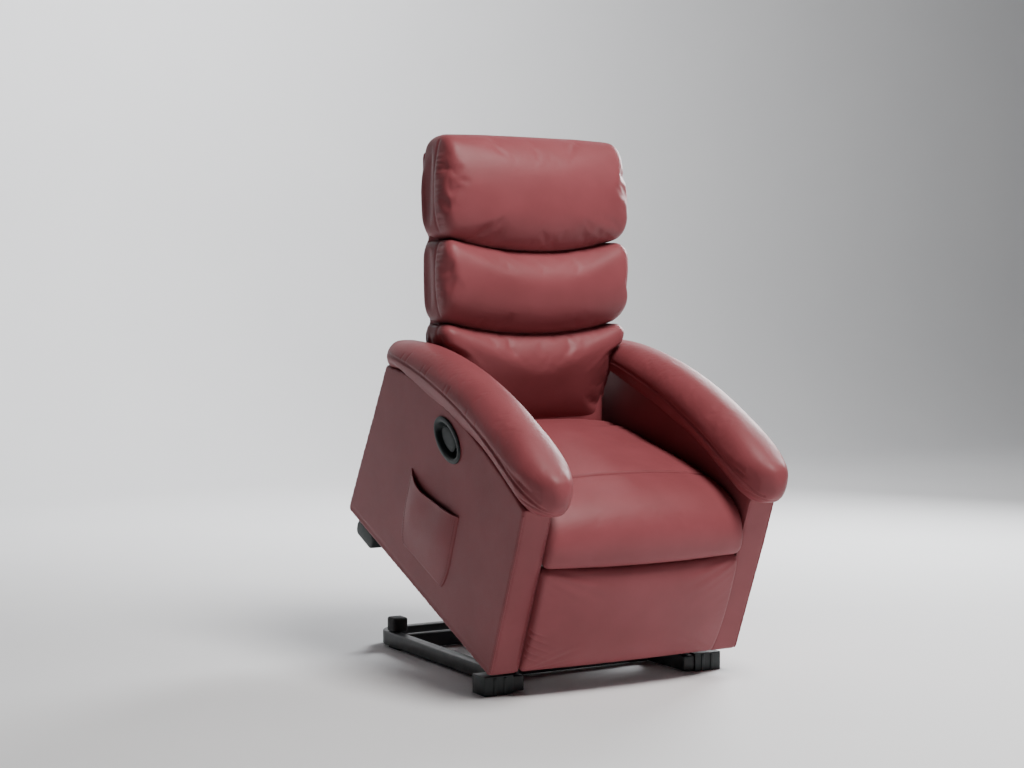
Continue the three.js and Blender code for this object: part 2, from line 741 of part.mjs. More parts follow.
function backGroup() {
  const face = BACK.front - GAP;
  const headFront = smoothLine([[-112, 738], [-152, 620], [-118, 516]], 4);
  const head = backCushion(
    [[face, 512], [face, 724], [-18, 730], [-24, 746], [-74, 752], ...headFront],
    FULL_BACK,
  );
  const middleFront = [[-112, 500], [-140, 474], [-150, 410], [-144, 340], [-118, 312]];
  const middle = backCushion([[face, 306], [face, 504], ...middleFront], FULL_BACK);
  const flare = 262; // the lumbar cushion widens above the arms
  const lowered = [[face, 74], [face, 298], [-84, 296], [-104, 274], [-108, 232], [-86, 160], [-64, 88]];
  const above = [[face, flare], [face, 298], [-84, 296], [-103, 274], [-104, flare]];
  const lumbar = fuse(backCushion(lowered, LOW_BACK), backCushion(above, FULL_BACK - 4));
  const plates = bothSides((label, sign) => mesh("back_plate_" + label, backPlate(sign), steel));
  const whole = group(
    "pivot_recline",
    mesh("back_frame", backFrame(), wood),
    mesh("back_cover", backCover(), leather),
    mesh("head_cushion", head, leather),
    mesh("middle_cushion", middle, leather),
    mesh("lumbar_cushion", lumbar, leather),
    ...plates,
  );
  whole.position.set(0, RECLINE_PIVOT[0], RECLINE_PIVOT[1]);
  whole.rotation.x = -BACK_LEAN;
  return whole;
}

// ---- footrest -----------------------------------------------------------------------------------
const SWING_X = [206, 210];
const CARRY_X = [199, 203];
const BOARD_HALF = INNER - 8;
const CONTROL_BACK = 60; // the control link's pivot lies this far back from the swing link's end

function footrestPoints() {
  const along = polar(FOOT_LINK, FOOT_START);
  const spread = polar(FOOT_SPREAD, FOOT_SPREAD_ANGLE);
  const back = polar(-CONTROL_BACK, FOOT_START);
  const front = sum(FOOT_PIVOT, along);
  return {
    frontTop: FOOT_PIVOT,
    frontEnd: front,
    rearTop: sum(FOOT_PIVOT, spread),
    rearEnd: sum(front, spread),
    control: sum(front, back),
    bracket: FOOT_BRACKET,
    bracketControl: sum(FOOT_BRACKET, back),
  };
}

const hole = (at, [x0, x1], sign) => bar(at, sign * (x0 - 1), sign * (x1 + 1), PIN_R + RUNNING);
const inwardPin = (at, sign) => bar(at, sign * (CARRY_X[0] - 1.5), sign * (SWING_X[1] - 1), PIN_R);

function footrest() {
  const p = footrestPoints();
  const swing = (a, b, sign) => strap(a, b, 11, sign * SWING_X[0], sign * SWING_X[1]);
  const carry = (a, b, sign) => strap(a, b, 10, sign * CARRY_X[0], sign * CARRY_X[1]);

  // Both front swing links and the torque tube that keeps the two sides together.
  const tubeAt = sum(FOOT_PIVOT, polar(34, FOOT_START));
  const torque = bar(tubeAt, -SWING_X[0] - 1, SWING_X[0] + 1, 8, 12);
  const fronts = [-1, 1].map((sign) =>
    cut(
      fuse(swing(p.frontTop, p.frontEnd, sign), inwardPin(p.frontEnd, sign), inwardPin(p.control, sign)),
      hole(p.frontTop, SWING_X, sign),
    ),
  );
  const swingFrame = mesh("footrest_swing_frame", fuse(torque, ...fronts), steel);
  const frontBody = pivoted("pivot_footrest", p.frontTop, swingFrame);

  const rears = bothSides((label, sign) => {
    const pinned = fuse(swing(p.rearTop, p.rearEnd, sign), inwardPin(p.rearEnd, sign));
    return mesh("footrest_rear_link_" + label, cut(pinned, hole(p.rearTop, SWING_X, sign)), steel);
  });
  const rearBody = pivoted("pivot_footrest_rear", p.rearTop, ...rears);

  const carriers = bothSides((label, sign) => {
    const bent = fuse(carry(p.bracket, p.frontEnd, sign), carry(p.frontEnd, p.rearEnd, sign));
    const holes = [p.bracket, p.frontEnd, p.rearEnd].map((at) => hole(at, CARRY_X, sign));
    return mesh("footrest_carrier_link_" + label, cut(bent, ...holes), steel);
  });
  const controls = bothSides((label, sign) => {
    const holes = [p.control, p.bracketControl].map((at) => hole(at, CARRY_X, sign));
    const flat = cut(carry(p.control, p.bracketControl, sign), ...holes);
    return mesh("footrest_control_link_" + label, flat, steel);
  });

  const backOfBoard = 21;
  const lugs = [-1, 1].map((sign) => {
    const [x0, x1] = SWING_X.map((x) => sign * x);
    const lug = sideShape([
      [backOfBoard + GAP, 96],
      [66, 103],
      [77, 115],
      [66, 128],
      [50, 172],
      [38, 181],
      [backOfBoard + GAP, 186],
    ]);
    const foot = box(sign * 190, sign * 226, backOfBoard + GAP, backOfBoard + GAP + 3, 90, 192);
    return fuse(slab(lug, x0, x1), foot, inwardPin(p.bracket, sign), inwardPin(p.bracketControl, sign));
  });
  const seat = backOfBoard + GAP;
  const tie = box(-192, 192, seat, seat + 16, 196, 212);
  const tieEnds = [-1, 1].map((sign) => box(sign * 186, sign * 200, seat, seat + 3, 180, 212));
  const board = box(-BOARD_HALF, BOARD_HALF, 9, backOfBoard, PANEL_FOOT + 4, PANEL_TOP - 4);
  const cushion = [
    [8.5, PANEL_FOOT],
    [8.5, PANEL_TOP],
    [-6, PANEL_TOP - 1],
    [-16, PANEL_TOP - 22],
    [-18, 150],
    [-15, 40],
    [-6, PANEL_FOOT + 6],
  ];
  const panel = pivoted(
    "pivot_footrest_panel",
    p.bracket,
    mesh("footrest_bracket", fuse(...lugs, ...tieEnds, tie), steel),
    mesh("footrest_board", board, wood),
    mesh("footrest_cushion", slab(sideShape(cushion), -SEAT_HALF, SEAT_HALF), leather),
  );
  const carrierBody = pivoted("pivot_footrest_carrier", p.frontEnd, ...carriers);
  const controlBody = pivoted("pivot_footrest_control", p.control, ...controls);
  return [frontBody, rearBody, carrierBody, controlBody, panel];
}

function seatCarriage() {
  const plates = bothSides((label, sign) => mesh("mechanism_plate_" + label, mechPlate(sign), steel));
  return group(
    "pivot_seat_slide",
    mesh("seat_frame", seatFrame(), wood),
    mesh("seat_springs", seatSprings(), zinc),
    mesh("seat_cushion", seatCushion(), leather),
    ...plates,
    backGroup(),
    ...footrest(),
  );
}

// ---- the chair ----------------------------------------------------------------------------------
function chairBody() {
  const body = pivoted("pivot_body_tilt", [0, 0], ...bodyShell(), seatCarriage());
  body.position.set(0, 0, RAISED_Z);
  body.rotation.x = RAISED_TILT;
  return body;
}

// The origin is on the floor, under the middle of the whole chair.
const chair = group("chair", base(), liftArms(), frontLinks(), actuator(), chairBody());
const extent = new THREE.Box3().setFromObject(chair, true);
chair.position.y = -(extent.min.y + extent.max.y) / 2;
chair.updateMatrixWorld(true);

export default chair;
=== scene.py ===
"""The looks of a lift recliner chair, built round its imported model. Metres, +Z up, the sitter facing -Y."""

import json
import math

import bmesh
import bpy
import numpy as np
from mathutils import Matrix, Vector
from mathutils.bvhtree import BVHTree
from mathutils.kdtree import KDTree


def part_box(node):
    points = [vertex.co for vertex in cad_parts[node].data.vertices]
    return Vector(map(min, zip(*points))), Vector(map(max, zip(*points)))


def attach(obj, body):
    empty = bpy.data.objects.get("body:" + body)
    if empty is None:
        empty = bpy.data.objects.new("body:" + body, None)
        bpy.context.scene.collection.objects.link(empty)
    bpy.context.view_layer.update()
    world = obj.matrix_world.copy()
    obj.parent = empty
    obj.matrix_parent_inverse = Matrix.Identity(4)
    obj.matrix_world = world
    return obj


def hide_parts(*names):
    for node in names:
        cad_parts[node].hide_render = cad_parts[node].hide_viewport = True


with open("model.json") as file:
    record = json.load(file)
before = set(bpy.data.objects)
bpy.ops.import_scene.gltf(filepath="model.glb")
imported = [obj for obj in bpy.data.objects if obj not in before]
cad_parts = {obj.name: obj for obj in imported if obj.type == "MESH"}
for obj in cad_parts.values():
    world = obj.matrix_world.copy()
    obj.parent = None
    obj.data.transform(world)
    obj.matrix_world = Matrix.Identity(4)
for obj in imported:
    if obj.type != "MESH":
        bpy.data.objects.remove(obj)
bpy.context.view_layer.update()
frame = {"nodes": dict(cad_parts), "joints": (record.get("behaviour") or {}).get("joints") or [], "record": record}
MM = 0.001

# ---- places, worked out from the frame ---------------------------------------------------------
joints = {joint["name"]: joint for joint in frame["joints"]}
SEAT_PITCH = math.radians(6.5)
PIVOT_IN_BODY = (620, 275)  # the recline pivot, from the body's own origin, in mm
BACK_LEAN = math.radians(24)
slide_axis = joints["seat_slide"]["axis"]
TILT = math.atan2(-slide_axis[2], -slide_axis[1]) + SEAT_PITCH
pivot = Vector(joints["recline"]["pos_m"])
to_origin = Matrix.Translation((0, -PIVOT_IN_BODY[0] * MM, -PIVOT_IN_BODY[1] * MM))
BODY = Matrix.Translation(pivot) @ Matrix.Rotation(TILT, 4, "X") @ to_origin
BACK = Matrix.Translation(pivot) @ Matrix.Rotation(TILT - BACK_LEAN, 4, "X")

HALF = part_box("side_panel_left")[1][0] / MM  # outer face of the arm boxes
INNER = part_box("side_panel_left")[0][0] / MM  # inner face of the arm boxes
PAD_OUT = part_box("arm_pad_left")[1][0] / MM
PAD_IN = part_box("arm_pad_left")[0][0] / MM
BACK_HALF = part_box("head_cushion")[1][0] / MM
PAD_GAP = 6
LOW_HALF = PAD_IN - PAD_GAP  # half the width of the back between the arm pads

# Sewn lines start clear of the chair, in mm, and drop on to a piece.
OUTSIDE = 500
FORWARD = (0, -1, 0)
REARWARD = (0, 1, 0)
DOWN = (0, 0, -1)
BESIDE = 6  # how far a row of stitches lies from its seam


# ---- materials ---------------------------------------------------------------------------------
def new_material(name, color, roughness, metallic=0.0):
    material = bpy.data.materials.new(name)
    material.use_nodes = True
    nodes = material.node_tree.nodes
    shader = nodes["Principled BSDF"]
    shader.inputs["Base Color"].default_value = (*color, 1)
    shader.inputs["Roughness"].default_value = roughness
    shader.inputs["Metallic"].default_value = metallic
    return material, nodes, material.node_tree.links, shader


def noise(nodes, links, coords, scale, detail=2.0, kind="ShaderNodeTexNoise"):
    """Coarse at a low scale and fine at a high one."""
    node = nodes.new(kind)
    node.inputs["Scale"].default_value = scale
    if "Detail" in node.inputs:
        node.inputs["Detail"].default_value = detail
    links.new(coords.outputs["Object"], node.inputs["Vector"])
    return node


def ramp(nodes, links, source, low, high):
    node = nodes.new("ShaderNodeMapRange")
    node.inputs["To Min"].default_value = low
    node.inputs["To Max"].default_value = high
    links.new(source.outputs[0], node.inputs["Value"])
    return node


def bump(nodes, links, source, strength, distance, before=None):
    node = nodes.new("ShaderNodeBump")
    node.inputs["Strength"].default_value = strength
    node.inputs["Distance"].default_value = distance
    links.new(source.outputs[0], node.inputs["Height"])
    if before:
        links.new(before.outputs["Normal"], node.inputs["Normal"])
    return node


def tint(nodes, links, factor, dark, light):
    node = nodes.new("ShaderNodeValToRGB")
    node.color_ramp.elements[0].color = (*dark, 1)
    node.color_ramp.elements[1].color = (*light, 1)
    links.new(factor.outputs[0], node.inputs["Fac"])
    return node


BURGUNDY = (0.235, 0.056, 0.064)
BURGUNDY_DARK = (0.218, 0.051, 0.058)
BURGUNDY_LIGHT = (0.252, 0.061, 0.070)


def leather_material():
    """Burgundy leather: clouded colour, patchy gloss, then creases, pebbled grain and pores."""
    material, nodes, links, shader = new_material("burgundy_leather", BURGUNDY, 0.46)
    coords = nodes.new("ShaderNodeTexCoord")
    shade = tint(nodes, links, noise(nodes, links, coords, 9, 4), BURGUNDY_DARK, BURGUNDY_LIGHT)
    shade.color_ramp.elements[0].position = 0.3
    shade.color_ramp.elements[1].position = 0.72
    links.new(shade.outputs["Color"], shader.inputs["Base Color"])
    gloss = ramp(nodes, links, noise(nodes, links, coords, 26, 3), 0.43, 0.53)
    links.new(gloss.outputs[0], shader.inputs["Roughness"])
    creases = bump(nodes, links, noise(nodes, links, coords, 38, 3), 0.12, 0.0018)
    pebbles = noise(nodes, links, coords, 620, kind="ShaderNodeTexVoronoi")
    grain = bump(nodes, links, pebbles, 0.22, 0.0007, creases)
    pores = bump(nodes, links, noise(nodes, links, coords, 1500, 2), 0.12, 0.0003, grain)
    links.new(pores.outputs["Normal"], shader.inputs["Normal"])
    shader.inputs["Specular IOR Level"].default_value = 0.26
    return material


def moulded_material(name, color, roughness, grain):
    material, nodes, links, shader = new_material(name, color, roughness)
    coords = nodes.new("ShaderNodeTexCoord")
    dark = [c * 0.8 for c in color]
    light = [c * 1.25 for c in color]
    shade = tint(nodes, links, noise(nodes, links, coords, 30, 3), dark, light)
    links.new(shade.outputs["Color"], shader.inputs["Base Color"])
    spark = bump(nodes, links, noise(nodes, links, coords, grain, 2), 0.25, 0.0003)
    links.new(spark.outputs["Normal"], shader.inputs["Normal"])
    rough = ramp(nodes, links, noise(nodes, links, coords, 60, 2), roughness - 0.06, roughness + 0.1)
    links.new(rough.outputs[0], shader.inputs["Roughness"])
    return material


def metal_material(name, color, roughness, metallic):
    material, nodes, links, shader = new_material(name, color, roughness, metallic)
    coords = nodes.new("ShaderNodeTexCoord")
    rough = ramp(nodes, links, noise(nodes, links, coords, 45, 4), roughness - 0.08, roughness + 0.12)
    links.new(rough.outputs[0], shader.inputs["Roughness"])
    peel = bump(nodes, links, noise(nodes, links, coords, 900, 2), 0.18, 0.0002)
    links.new(peel.outputs["Normal"], shader.inputs["Normal"])
    return material


def wood_material():
    material, nodes, links, shader = new_material("bare_timber", (0.5, 0.36, 0.22), 0.65)
    coords = nodes.new("ShaderNodeTexCoord")
    rings = nodes.new("ShaderNodeTexWave")
    rings.inputs["Scale"].default_value = 14
    rings.inputs["Distortion"].default_value = 6
    links.new(coords.outputs["Object"], rings.inputs["Vector"])
    shade = tint(nodes, links, rings, (0.36, 0.24, 0.13), (0.56, 0.41, 0.26))
    links.new(shade.outputs["Color"], shader.inputs["Base Color"])
    fibre = bump(nodes, links, rings, 0.2, 0.0005)
    links.new(fibre.outputs["Normal"], shader.inputs["Normal"])
    return material


LEATHER = leather_material()
THREAD = moulded_material("seam_thread", (0.20, 0.045, 0.05), 0.6, 1800)
PLASTIC = moulded_material("black_plastic", (0.012, 0.018, 0.019), 0.48, 900)
RUBBER = moulded_material("black_rubber", (0.012, 0.012, 0.012), 0.75, 700)
STEEL = metal_material("black_powder_coat", (0.013, 0.014, 0.015), 0.42, 0.1)
ZINC = metal_material("zinc_plate", (0.30, 0.31, 0.32), 0.42, 1.0)
WOOD = wood_material()
BY_SLOT = {
    "upholstery": LEATHER,
    "wood": WOOD,
    "zinc": ZINC,
    "plastic": PLASTIC,
    "rubber": RUBBER,
    "steel": STEEL,
}


# ---- mesh tools --------------------------------------------------------------------------------
def lengths_along(path):
    """How far along the path each of its points lies."""
    return np.concatenate([[0], np.cumsum(np.linalg.norm(np.diff(path, axis=0), axis=1))])


def smooth_path(points, count, closed=False):
    """A Catmull-Rom curve through the points, in even steps of length."""
    given = np.array(points, float)
    if closed:
        padded = np.vstack([given[-1:], given, given[:2]])
    else:
        padded = np.vstack([2 * given[0] - given[1], given, 2 * given[-1] - given[-2]])
    fine = []
    for a, b, c, d in zip(padded, padded[1:], padded[2:], padded[3:]):
        for t in np.arange(0, 1, 0.05):
            square = (2 * a - 5 * b + 4 * c - d) * t**2
            cube = (3 * b - a - 3 * c + d) * t**3
            fine.append(0.5 * (2 * b + (c - a) * t + square + cube))
    fine = np.array(fine + [fine[0] if closed else given[-1]])
    reach = lengths_along(fine)
    wanted = np.linspace(0, reach[-1], count, endpoint=not closed)
    return np.stack([np.interp(wanted, reach, fine[:, k]) for k in range(fine.shape[1])], 1)


def link_mesh(name, vertices, faces, matrix=None):
    mesh = bpy.data.meshes.new(name)
    mesh.from_pydata([tuple(map(float, v)) for v in vertices], [], faces)
    piece = bpy.data.objects.new(name, mesh)
    bpy.context.collection.objects.link(piece)
    if matrix:
        mesh.transform(Matrix.Scale(MM, 4))
        mesh.transform(matrix)
    tidy = bmesh.new()
    tidy.from_mesh(mesh)
    bmesh.ops.recalc_face_normals(tidy, faces=tidy.faces)
    tidy.to_mesh(mesh)
    tidy.free()
    return piece


def smoothed(piece):
    for polygon in piece.data.polygons:
        polygon.use_smooth = True
    return piece


def apply_modifiers(piece):
    graph = bpy.context.evaluated_depsgraph_get()
    mesh = bpy.data.meshes.new_from_object(piece.evaluated_get(graph))
    piece.modifiers.clear()
    piece.data = mesh
    return piece


def points_of(piece):
    co = np.empty(len(piece.data.vertices) * 3)
    piece.data.vertices.foreach_get("co", co)
    return co.reshape(-1, 3)


def move_points(piece, co):
    piece.data.vertices.foreach_set("co", co.ravel())
    piece.data.update()
    return piece


def normals_of(piece):
    directions = np.empty(len(piece.data.vertices) * 3)
    piece.data.vertices.foreach_get("normal", directions)
    return directions.reshape(-1, 3)


def step(value, low, high):
    """0 below low, 1 above high and smooth between, either way round."""
    t = np.clip((value - low) / (high - low), 0, 1)
    return t * t * (3 - 2 * t)


def ridge(value, width):
    """A smooth bump, 1 at 0 and gone a few widths away."""
    return np.exp(-((value / width) ** 2))


def skin(rows, count):
    """The faces of a closed form made of rings of points, with flat ends."""
    faces = []
    for i in range(rows - 1):
        for j in range(count):
            k = (j + 1) % count
            faces.append((i * count + j, i * count + k, (i + 1) * count + k, (i + 1) * count + j))
    last = (rows - 1) * count
    return [*faces, tuple(range(count)), tuple(range(last + count - 1, last - 1, -1))]


ROUND_RINGS = 7
FLAT_RINGS = 26


def pillow(name, outline, x0, x1, radius, shape, bend, count=150):
    """A closed form: a side outline in mm, drawn across from x0 to x1, its side edges rounded to radius."""
    ring = smooth_path(outline, count, closed=True)
    along = np.roll(ring, -1, axis=0) - np.roll(ring, 1, axis=0)
    out = np.stack([along[:, 1], -along[:, 0]], 1)
    out /= np.linalg.norm(out, axis=1)[:, None]
    area = np.sum(ring[:, 0] * np.roll(ring[:, 1], -1) - np.roll(ring[:, 0], -1) * ring[:, 1])
    out *= np.sign(area)
    turns = np.linspace(0, math.pi / 2, ROUND_RINGS)
    stations = [(x0 + radius * (1 - math.sin(a)), radius * (1 - math.cos(a))) for a in turns[::-1]]
    stations += [(x, 0) for x in np.linspace(x0 + radius, x1 - radius, FLAT_RINGS)[1:-1]]
    stations += [(x1 - radius * (1 - math.sin(a)), radius * (1 - math.cos(a))) for a in turns]
    vertices = np.array([(x, y, z) for x, inset in stations for y, z in ring - out * inset])
    return link_mesh(name, shape(vertices), skin(len(stations), count), bend)


def stacked(name, ring, rows, matrix):
    """A closed form of scaled copies of one outline in mm. Each row is (how much it grows, x)."""
    ring = np.array(ring, float)
    centre = (ring.max(axis=0) + ring.min(axis=0)) / 2
    reach = (ring.max(axis=0) - ring.min(axis=0)) / 2
    vertices = [(x, y, z) for grow, x in rows for y, z in centre + (ring - centre) * (1 + grow / reach)]
    return link_mesh(name, vertices, skin(len(rows), len(ring)), matrix)


ODD_WAY = (0.31, 0.52, 0.80)  # parallel to no seam


def ring_of(place, way, radius, sides):
    side = np.cross(way, ODD_WAY)
    side /= np.linalg.norm(side)
    up = np.cross(way, side)
    turns = np.linspace(0, 2 * math.pi, sides, endpoint=False)
    return [place + radius * (math.cos(a) * side + math.sin(a) * up) for a in turns]


WELT_SIDES = 8


def welt(name, path, radius=0.0022):
    """A sewn-in round edge along a path in metres."""
    path = np.array(path, float)
    along = np.gradient(path, axis=0)
    along /= np.linalg.norm(along, axis=1)[:, None]
    vertices = [v for place, way in zip(path, along) for v in ring_of(place, way, radius, WELT_SIDES)]
    return finish_soft(link_mesh(name, vertices, skin(len(path), WELT_SIDES)), "chair_body", None)


STITCH = 0.0045
STITCH_GAP = 0.0026
THREAD_RADIUS = 0.0006
THREAD_SIDES = 6
STITCH_RINGS = ((0, 0.4), (0.2, 1), (0.8, 1), (1, 0.4))  # share of the length, share of the radius


def stitches(name, path, body):
    """A row of thread stitches lying along a path in metres."""
    path = np.array(path, float)
    reach = lengths_along(path)
    starts = np.arange(0, reach[-1] - STITCH, STITCH + STITCH_GAP)
    ends = [
        np.stack([np.interp(starts + far, reach, path[:, k]) for k in range(3)], 1) for far in (0, STITCH)
    ]
    vertices, faces = [], []
    for a, b in zip(*ends):
        way = (b - a) / np.linalg.norm(b - a)
        first = len(vertices)
        for share, size in STITCH_RINGS:
            vertices += ring_of(a + (b - a) * share, way, THREAD_RADIUS * size, THREAD_SIDES)
        faces += [tuple(first + i for i in face) for face in skin(len(STITCH_RINGS), THREAD_SIDES)]
    return finish_soft(link_mesh(name, vertices, faces), body, None, material=THREAD)


def cut_out(piece, tool):
    modifier = piece.modifiers.new("hole", "BOOLEAN")
    modifier.operation = "DIFFERENCE"
    modifier.object = tool
    apply_modifiers(piece)
    bpy.data.objects.remove(tool)
    return piece


def remesh(piece, size):
    modifier = piece.modifiers.new("even", "REMESH")
    modifier.mode = "VOXEL"
    modifier.voxel_size = size
    return apply_modifiers(piece)


RELAX_FACTOR = 0.5


def relax(piece, times):
    modifier = piece.modifiers.new("relax", "SMOOTH")
    modifier.factor = RELAX_FACTOR
    modifier.iterations = times
    return apply_modifiers(piece)


def subdivide(piece):
    modifier = piece.modifiers.new("finer", "SUBSURF")
    modifier.levels = modifier.render_levels = 1
    return apply_modifiers(piece)


CLOTH_FRAMES = 20
LEAST_WEIGHT = 0.01


def inflate(piece, cap, pinned, pressure=4.0):
    """Blows the cover up as cloth. pinned weighs each vertex, and none moves farther than cap."""
    start = points_of(piece)
    group = piece.vertex_groups.new(name="held")
    for index, weight in enumerate(pinned):
        if weight > LEAST_WEIGHT:
            group.add([index], float(weight), "REPLACE")
    modifier = piece.modifiers.new("cloth", "CLOTH")
    settings = modifier.settings
    settings.quality = 4
    settings.mass = 0.4
    settings.tension_stiffness = 25
    settings.compression_stiffness = 12
    settings.shear_stiffness = 8
    settings.bending_stiffness = 1.2
    settings.air_damping = 4
    settings.use_pressure = True
    settings.uniform_pressure_force = pressure
    settings.vertex_group_mass = "held"
    settings.effector_weights.gravity = 0
    modifier.collision_settings.use_collision = False
    modifier.collision_settings.use_self_collision = False
    scene = bpy.context.scene
    scene.frame_start, scene.frame_end = 1, CLOTH_FRAMES
    modifier.point_cache.frame_start, modifier.point_cache.frame_end = 1, CLOTH_FRAMES
    for number in range(1, CLOTH_FRAMES + 1):
        scene.frame_set(number)
    apply_modifiers(piece)
    scene.frame_set(1)
    piece.vertex_groups.clear()
    moved = points_of(piece) - start
    length = np.linalg.norm(moved, axis=1)
    scale = np.where(length > cap, cap / np.maximum(length, 1e-9), 1)
    return move_points(piece, start + moved * scale[:, None])


def to_local(piece, matrix):
    """The piece's points in mm, in the body's or the back's own frame."""
    back = matrix.inverted()
    return (points_of(piece) @ np.array(back.to_3x3()).T + np.array(back.translation)) / MM


def surface_line(piece, matrix, starts, way=DOWN):
    """Drops points in mm, of the given frame, on to a piece, along way."""
    mesh = piece.data
    tree = BVHTree.FromPolygons([v.co for v in mesh.vertices], [p.vertices for p in mesh.polygons])
    direction = (matrix.to_3x3() @ Vector(way)).normalized()
    hits = []
    for start in starts:
        hit = tree.ray_cast(matrix @ (Vector(start) * MM), direction)[0]
        if hit:
            hits.append(hit)
    return hits


def push_in(piece, depth):
    """Moves every point inwards by its own depth in mm."""
    return move_points(piece, points_of(piece) - normals_of(piece) * (depth * MM)[:, None])


def keep_within(piece, half):
    """Flattens the sides where the cover passes half a width in mm."""
    co = points_of(piece)
    co[:, 0] = np.clip(co[:, 0], -half * MM, half * MM)
    return move_points(piece, co)


def near_path(co, path):
    """The distance of every point to a path of close points."""
    tree = KDTree(len(path))
    for index, place in enumerate(path):
        tree.insert(place, index)
    tree.balance()
    return np.array([tree.find(place)[2] for place in co])


def groove(piece, path, depth, width):
    """Draws the surface in along a sewn line."""
    co = points_of(piece)
    distance = near_path(co, path)
    inward = normals_of(piece) * (depth * ridge(distance, width))[:, None]
    return move_points(piece, co - inward)


def finish_soft(piece, body, fill, *nodes, slot="upholstery", material=LEATHER):
    smoothed(piece)
    piece.data.materials.clear()
    piece.data.materials.append(material)
    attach(piece, body)
    if nodes:
        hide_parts(*nodes)
    return piece


WELD = 2e-5
FLAT_ANGLE = math.radians(2)
EDGE_ANGLE = math.radians(32)


def softened(node, body, material, slot, width):
    """A hard CAD part with its edges broken, in the CAD part's place."""
    source = frame["nodes"][node]
    mesh = source.data.copy()
    mesh.transform(source.matrix_world)
    piece = bpy.data.objects.new(node + "_shape", mesh)
    bpy.context.collection.objects.link(piece)
    tidy = bmesh.new()
    tidy.from_mesh(mesh)
    bmesh.ops.remove_doubles(tidy, verts=tidy.verts, dist=WELD)
    bmesh.ops.dissolve_limit(tidy, angle_limit=FLAT_ANGLE, verts=tidy.verts, edges=tidy.edges)
    tidy.to_mesh(mesh)
    tidy.free()
    modifier = piece.modifiers.new("edges", "BEVEL")
    modifier.width = width * MM
    modifier.segments = 3
    modifier.limit_method = "ANGLE"
    modifier.angle_limit = EDGE_ANGLE
    modifier.use_clamp_overlap = True
    apply_modifiers(piece)
    return finish_soft(piece, body, None, node, slot=slot, material=material)


# ---- the back ----------------------------------------------------------------------------------
HEAD = [
    (-62, 506), (-118, 507), (-143, 528), (-152, 580), (-152, 640), (-145, 692),
    (-130, 728), (-102, 748), (-56, 754), (-10, 744), (8, 712), (10, 610),
    (2, 524), (-24, 506),
]
MIDDLE = [
    (-62, 502), (-118, 500), (-143, 480), (-151, 436), (-150, 392), (-142, 348),
    (-120, 314), (-84, 300), (-40, 300), (-4, 308), (4, 350), (4, 450),
    (-4, 496), (-30, 503),
]
LUMBAR = [
    (-50, 298), (-104, 296), (-122, 276), (-118, 236), (-103, 190), (-84, 140),
    (-66, 92), (-50, 52), (-24, 44), (-14, 160), (-10, 290),
]
SAG = 36  # how far the grooves between the cushions hang in the middle
DOME = 6  # how far a cushion's front stands out in the middle
LUMBAR_SWELL = 14
SIDE_ROUND = 22
FLARE = (222, 250)  # heights between which the back widens above the arms
BACK_FULL_HALF = 240  # half the width of the core between the cushions
BACK_LOW_HALF = 226.5


def arch(x, half):
    return 1 - np.clip(np.abs(x) / half, 0, 1) ** 2


def domed(depth, bow):
    """How far the front moves back at its sides and forward in its middle, for points at this depth."""
    return DOME * (1 - bow**0.5) * step(-depth, 60, 150) - DOME * bow * step(-depth, 60, 140)


def head_shape(v):
    """Sags at its foot, domed in front, narrower at its top and its foot."""
    bow = arch(v[:, 0], BACK_HALF)
    v[:, 2] -= SAG * bow * (1 - step(v[:, 2], 500, 640))
    v[:, 1] += domed(v[:, 1], bow)
    v[:, 0] *= 1 - 0.055 * step(v[:, 2], 610, 745) - 0.03 * (1 - step(v[:, 2], 506, 560))
    return v


def middle_shape(v):
    """Sags as a whole, domed in front, a little narrower at both grooves."""
    bow = arch(v[:, 0], BACK_HALF)
    v[:, 2] -= SAG * bow
    v[:, 1] += domed(v[:, 1], bow)
    v[:, 0] *= 1 - 0.03 * (1 - step(v[:, 2], 300, 350)) - 0.03 * step(v[:, 2], 460, 502)
    return v


def lumbar_shape(v):
    """Flares above the arms, sags at its top and stands out in its middle."""
    bow = arch(v[:, 0], LOW_HALF)
    widen = (BACK_HALF + 1) / LOW_HALF
    v[:, 0] *= 1 + (widen - 1) * step(v[:, 2], *FLARE)
    v[:, 2] -= SAG * bow * step(v[:, 2], 120, 290)
    v[:, 1] -= LUMBAR_SWELL * bow * step(-v[:, 1], 30, 90)
    return v


CUSHION_CAP = 0.022  # no cloth point moves farther than this


def back_cushions():
    for name, outline, half, radius, shape in (
        ("head", HEAD, BACK_HALF + 2, SIDE_ROUND, head_shape),
        ("middle", MIDDLE, BACK_HALF + 1, SIDE_ROUND, middle_shape),
        ("lumbar", LUMBAR, LOW_HALF, SIDE_ROUND, lumbar_shape),
    ):
        piece = pillow(name + "_pillow", outline, -half, half, radius, shape, bend=BACK)
        remesh(piece, 0.0055)
        relax(piece, 3)
        inflate(piece, CUSHION_CAP, step(to_local(piece, BACK)[:, 1], -60, -20))
        relax(piece, 5)
        subdivide(piece)
        side_band(piece, name, half)
        finish_soft(piece, "backrest", 0.8, name + "_cushion")


BAND = -78  # the sewn line between a back cushion's front and its side bands
BAND_HEIGHTS = {"head": (520, 735), "middle": (312, 492), "lumbar": (262, 288)}
PUCKER = 0.9


